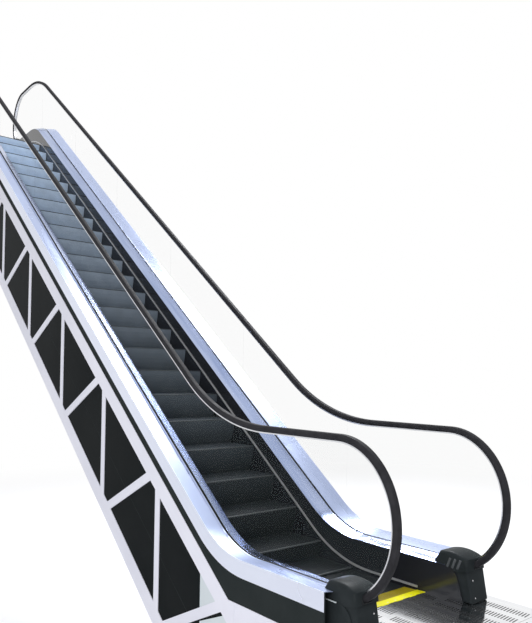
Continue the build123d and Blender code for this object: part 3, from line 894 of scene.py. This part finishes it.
# %% Hood
CAP_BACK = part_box("newel_cap_lower_right")[1][1]
CAP_INNER, CAP_OUTER = 0.405, 0.600
SHOULDERS = ((0.014, 0.985), (0.012, 0.95), (0.009, 0.88))
hood_core = CAP_OUTER - CAP_INNER - 2 * sum(reach for reach, size in SHOULDERS)
CAP_MIDDLE = (CAP_INNER + CAP_OUTER) / 2
HOOD_ALONG = RUN_START - 1.135
HOOD_HALF_LENGTH, HOOD_RISE = 0.215, 0.118
HOOD_CREASE = (0, RUN_START - 1.200, FLOOR + 0.205)
HOOD_CUTS = (((0, RUN_START - 0.985, FLOOR + 0.240), (0, 0.80, 0.60)),
             (HOOD_CREASE, (0, 0.175, -1)), (HOOD_CREASE, (0, -0.175, -1)),
             ((0, RUN_START - 1.298, FLOOR + 0.210), (0, -0.981, 0.194)))
alone()
bpy.ops.mesh.primitive_cylinder_add(vertices=48, radius=1, depth=hood_core,
                                    rotation=(0, math.radians(90), 0))
hood = bpy.context.object
hood.name = "cap_hood_lower_right"
bpy.ops.object.transform_apply(location=True, rotation=True, scale=True)
hood.scale = (1, HOOD_HALF_LENGTH, HOOD_RISE)
hood.location = (CAP_MIDDLE, HOOD_ALONG, FLOOR + 0.210)
bpy.ops.object.transform_apply(location=True, rotation=True, scale=True)
for place, direction in HOOD_CUTS:
    cut(hood, place, direction)
for end in (-1, 1):
    pick(hood, lambda face: face.normal.x * end > 0.99)
    for reach, size in SHOULDERS:
        bpy.ops.mesh.extrude_region_move(TRANSFORM_OT_translate={"value": (end * reach, 0, 0)})
        bpy.ops.transform.resize(value=(1, size, size), center_override=HOOD_CREASE)
bpy.ops.object.mode_set(mode="OBJECT")
outward(hood)
bpy.ops.object.shade_smooth_by_angle(angle=math.radians(38))
print("hood", [round(size, 3) for size in hood.dimensions])

# %% Column under the hood
COLUMN_FRONT = RUN_START - 1.325
COLUMN_RAKE = 0.045
COLUMN_LOW, COLUMN_TOP = FLOOR + 0.012, FLOOR + 0.240
COLUMN_ROUND = 0.018
column = block("cap_column_lower_right", (CAP_INNER + 0.012, COLUMN_FRONT, COLUMN_LOW),
               (CAP_OUTER - 0.005, CAP_BACK, COLUMN_TOP))
pick(column, lambda face: face.normal.z > 0.9)
bpy.ops.transform.resize(value=(1, 1 - COLUMN_RAKE / (CAP_BACK - COLUMN_FRONT), 1),
                         center_override=(0, CAP_BACK, COLUMN_TOP))
soften(column, COLUMN_ROUND, 4)

# %% Rounded panel on the column's outer side
PANEL_ROUND = 0.110
PANEL_TOP = FLOOR + 0.215
side_panel = block("cap_panel_lower_right", (CAP_OUTER - 0.006, COLUMN_FRONT + 0.060, COLUMN_LOW),
                   (CAP_OUTER + 0.003, CAP_BACK, PANEL_TOP))
alone(side_panel)
bpy.ops.object.mode_set(mode="EDIT")
bpy.ops.mesh.select_mode(type="EDGE")
bpy.ops.mesh.select_all(action="DESELECT")
shape = bmesh.from_edit_mesh(side_panel.data)
for edge in shape.edges:
    first, second = (vert.co for vert in edge.verts)
    runs_across = abs(first.x - second.x) > 0.005
    edge.select_set(runs_across and max(first.y, second.y) < CAP_BACK - 0.01
                    and min(first.z, second.z) > PANEL_TOP - 0.01)
bmesh.update_edit_mesh(side_panel.data)
bpy.ops.mesh.bevel(offset=PANEL_ROUND, segments=7, affect="EDGES")
bpy.ops.object.mode_set(mode="OBJECT")
soften(side_panel, MOULDED_ROUND)

# %% Mouth for the belt
BELT_TILT = math.radians(-32)
MOUTH_HALF_WIDTH, MOUTH_HALF_HEIGHT = 0.036, 0.027
MOUTH_FRONT, MOUTH_BACK = 0.016, 0.052
MOUTH_RIM, MOUTH_DEPTH = 0.004, 0.030
MOUTH_PLACE = (RAIL_X, RUN_START - 1.302, FLOOR + 0.264)
mouth = block("cap_mouth_lower_right", (-MOUTH_HALF_WIDTH, MOUTH_FRONT, -MOUTH_HALF_HEIGHT),
              (MOUTH_HALF_WIDTH, MOUTH_BACK, MOUTH_HALF_HEIGHT))
pick(mouth, lambda face: face.normal.y < -0.9)
bpy.ops.mesh.inset(thickness=MOUTH_RIM)
bpy.ops.mesh.extrude_region_move(TRANSFORM_OT_translate={"value": (0, MOUTH_DEPTH, 0)})
bpy.ops.object.mode_set(mode="OBJECT")
mouth.data.transform(Matrix.Rotation(BELT_TILT, 4, "X"))
mouth.data.transform(Matrix.Translation(MOUTH_PLACE))
soften(mouth, 0.002)

# %% Grip ribs and screws
GRIP_HALF_WIDTH, GRIP_HALF_HEIGHT = 0.013, 0.038
GRIP_FACE = CAP_INNER - 0.009
GRIP_TURN = math.radians(24)
GRIP_PITCH, GRIP_COUNT = 0.043, 3
grip = block("cap_grip_lower_right", (GRIP_FACE, -GRIP_HALF_WIDTH, -GRIP_HALF_HEIGHT),
             (CAP_INNER + 0.012, GRIP_HALF_WIDTH, GRIP_HALF_HEIGHT))
pick(grip, lambda face: face.normal.x < -0.9)
bpy.ops.transform.resize(value=(1, 0.45, 0.85), center_override=(GRIP_FACE, 0, 0))
bpy.ops.object.mode_set(mode="OBJECT")
soften(grip, MOULDED_ROUND)
grip.data.transform(Matrix.Rotation(GRIP_TURN, 4, "X"))
grip.data.transform(Matrix.Translation((0, HOOD_ALONG, FLOOR + 0.257)))
grips = copies_at(grip, "cap_grips_lower_right",
                  [(0, -GRIP_PITCH * number, 0) for number in range(GRIP_COUNT)])
CAP_SCREW_SPOTS = [(-0.045, 0, 0), (-0.045, 0.0225, 0.110)]
front_lean = math.radians(90) - math.atan2(COLUMN_RAKE, COLUMN_TOP - COLUMN_LOW)
cap_screw = screw_head("cap_screw", (CAP_MIDDLE, COLUMN_FRONT + 0.006, FLOOR + 0.050),
                       0.005, 0.0014, (front_lean, 0, 0))
cap_screws = copies_at(cap_screw, "cap_screws_lower_right", CAP_SCREW_SPOTS)

# %% Pale trim along the cap's outer side
CAP_TRIM_LOW, CAP_TRIM_TOP = FLOOR + 0.2105, FLOOR + 0.2155
cap_trim = block("cap_trim_lower_right", (CAP_OUTER - 0.002, HOOD_ALONG - 0.001, CAP_TRIM_LOW),
                 (CAP_OUTER + 0.006, CAP_BACK, CAP_TRIM_TOP))
soften(cap_trim, 0.0012)

# %% Four caps
for piece, coat, slot in ((hood, cap_black, "cap_black"), (column, cap_black, "cap_black"),
                          (side_panel, cap_black, "cap_black"), (mouth, gasket_black, "cap_black"),
                          (grips, grip_painted_highlight, "cap_black"),
                          (cap_screws, screw_steel, "steel_inner"),
                          (cap_trim, plate_grey, "plate_grey")):
    upper = at_upper_end(piece, piece.name.replace("lower", "upper"), "newel_cap_*_right")
    for right in (piece, upper):
        left = mirrored(right, right.name.replace("right", "left"))
        for cap_piece in (left, right):
            done(cap_piece, coat)
            if slot == "cap_black":
                start = cap_piece.name.rsplit("_", 2)[0]
                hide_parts(cap_piece.name.replace(start, "newel_cap"))

# %% [markdown]
# ## Gaskets and deck edges
#
# The glass stands in a channel of which only a thin black lip on either side of it and
# two metal edges show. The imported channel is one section, so copies of it are cut
# lengthwise by planes: the middle becomes the gasket, the outer part the edge of the outer
# deck and the inner part the edge of the inner one.

# %% Cut the channel lengthwise
GASKET_INNER, GASKET_OUTER = 0.502, 0.522
CHANNEL_STRIPS = (
    ("gasket_", ((GASKET_INNER, -1), (GASKET_OUTER, 1)), gasket_black, "clamp_metal"),
    ("deck_edge_", ((GASKET_OUTER, -1),), deck_white, "deck_white"),
    ("inner_edge_", ((GASKET_INNER, 1),), deck_inner, "deck_inner"),
)
for side, sign in SIDES:
    channel = "glass_clamp_" + side
    strips = [(copied(nodes[channel], start + side), cuts, coat, slot)
              for start, cuts, coat, slot in CHANNEL_STRIPS]
    for strip, cuts, coat, slot in strips:
        outward(strip)
        for distance, way in cuts:
            cut(strip, (sign * distance, 0, 0), (sign * way, 0, 0))
        lower_at_glass(strip)
        done(strip, coat)
        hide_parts(channel)

# %% [markdown]
# ## Handrail guides
#
# The belt slides on a bright profile that fills its mouth and shows as a thin silver line
# below its lips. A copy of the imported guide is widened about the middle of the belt.

# %% Widen the guides
GUIDE_SPREAD = 1.40
for side, sign in SIDES:
    name = "handrail_guide_" + side
    guide = copied(nodes[name], name + "_wide")
    spread_across(guide, sign * RAIL_X, GUIDE_SPREAD)
    outward(guide)
    done(guide, guide_metal)
    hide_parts(name)

# %% [markdown]
# ## Side panels
#
# Dark enamel panels fill the lattice up to a joint near each landing, and painted ones follow.
# Copies of the imported plates are cut at that joint, and the part towards the flight is enamelled
# too. A fine lap joint runs along the dark panels, and a black sheet under the last diagonal is a
# painted shadow of it.

# %% Cut the plates at the joint
DARK_START = RUN_START + 0.276
DARK_END = RUN_END - 0.557
for side in ("left", "right"):
    plate = "side_plate_" + side
    dark = copied(nodes[plate], "side_dark_" + side)
    pale = copied(nodes[plate], "side_pale_lower_" + side)
    pale_upper = copied(nodes[plate], "side_pale_upper_" + side)
    for piece in (dark, pale, pale_upper):
        outward(piece)
    cut(dark, (0, DARK_START, 0), (0, -1, 0))
    cut(dark, (0, DARK_END, 0), (0, 1, 0))
    cut(pale, (0, DARK_START, 0), (0, 1, 0))
    cut(pale_upper, (0, DARK_END, 0), (0, -1, 0))
    for piece, coat, slot in ((dark, infill_black, "infill_black"),
                              (pale, plate_grey, "plate_grey"),
                              (pale_upper, plate_grey, "plate_grey")):
        done(piece, coat)
        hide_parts(plate)


# %% Lap joint and painted shadow
def sheet(name, corners, inner, outer):
    """A thin sheet on the truss's side between four corners along and up."""
    piece = block(name, (inner, -1, -1), (outer, 1, 1))
    for vert in piece.data.vertices:
        along, up = corners[(1 if vert.co.y > 0 else 0) + (2 if vert.co.z > 0 else 0)]
        vert.co.y, vert.co.z = RUN_START + along, FLOOR + up
    outward(piece)
    soften(piece, 0.0002, 1)
    return piece


LAP_HEIGHT = 0.005
LAP_DROP = -0.567
LAP_SETBACK = 0.02
# A black sheet under the last diagonal: a painted shadow of the diagonal on the pale plate.
SHADOW_SHEET_CORNERS = [(-0.045, -0.138), (0.355, -0.294), (0.003, -0.088), (0.560, -0.346)]
SHEET_INNER = SIDE_X - 0.006
lap_ends = (DARK_START - RUN_START + LAP_SETBACK, DARK_END - RUN_START - LAP_SETBACK)
lap_corners = [(along, along * SLOPE + LAP_DROP + up)
               for up in (0, LAP_HEIGHT) for along in lap_ends]
lap = sheet("side_lap_right", lap_corners, SHEET_INNER, SIDE_X - 0.0042)
shadow_sheet = sheet("side_seal_right", SHADOW_SHEET_CORNERS, SHEET_INNER, SIDE_X - 0.0040)
for piece, coat, slot in ((lap, lap_grey, "infill_black"), (shadow_sheet, infill_black, "infill_black")):
    done(mirrored(piece, piece.name.replace("right", "left")), coat)
    done(piece, coat)

# %% [markdown]
# ## Treads on the landing plates
#
# The landing plates carry rows of short slanted bars so that shoes don't slip. One bar
# is a thin box with its top drawn in; it is turned about its middle and repeated along the
# row, and the row is repeated across the plate.

# %% Slanted bars
BAR_LENGTH = 0.072
BAR_WIDTH = 0.009
BAR_HEIGHT = 0.0010
BAR_PITCH = 0.022
ROW_PITCH = 0.132
BAR_SLANT = math.radians(7)
BAR_TOP_SHARES = (0.94, 0.7, 1)
FIELD_MARGIN = 0.03
FIRST_PLATE = 0.600
COVER_ROWS, COMB_PLATE_ROWS = 9, 6


def bar_field(name, low, high, rows):
    """Rows of slanted bars on a plate between two corners of its top."""
    count = int((high[1] - low[1] - FIELD_MARGIN) / BAR_PITCH)
    middle_y = (low[1] + high[1]) / 2 - BAR_PITCH * (count - 1) / 2
    x = -ROW_PITCH * (rows - 1) / 2
    top = high[2]
    bar = block(name, (x - BAR_LENGTH / 2, middle_y - BAR_WIDTH / 2, top - 0.0002),
                (x + BAR_LENGTH / 2, middle_y + BAR_WIDTH / 2, top + BAR_HEIGHT))
    pick(bar, lambda face: face.normal.z > 0.9)
    bpy.ops.transform.resize(value=BAR_TOP_SHARES, center_override=(x, middle_y, top))
    bpy.ops.mesh.select_all(action="SELECT")
    bpy.ops.transform.rotate(value=-BAR_SLANT, orient_axis="Z", center_override=(x, middle_y, top))
    bpy.ops.object.mode_set(mode="OBJECT")
    row(bar, (0, BAR_PITCH, 0), count)
    row(bar, (ROW_PITCH, 0, 0), rows)
    done(bar, gasket_black)


def plate_tops(node):
    """The corners of each separate plate in a node."""
    low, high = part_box(node)
    joint = low[1] + FIRST_PLATE if "lower" in node else high[1] - FIRST_PLATE
    return ((low, (high[0], joint, high[2])), ((low[0], joint, low[2]), high))


for end in ("lower", "upper"):
    for number, (low, high) in enumerate(plate_tops("floor_covers_" + end)):
        bar_field("tread_bars_%s_%d" % (end, number + 1), low, high, COVER_ROWS)
    low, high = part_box("comb_plate_" + end)
    bar_field("tread_bars_comb_plate_" + end, low, high, COMB_PLATE_ROWS)
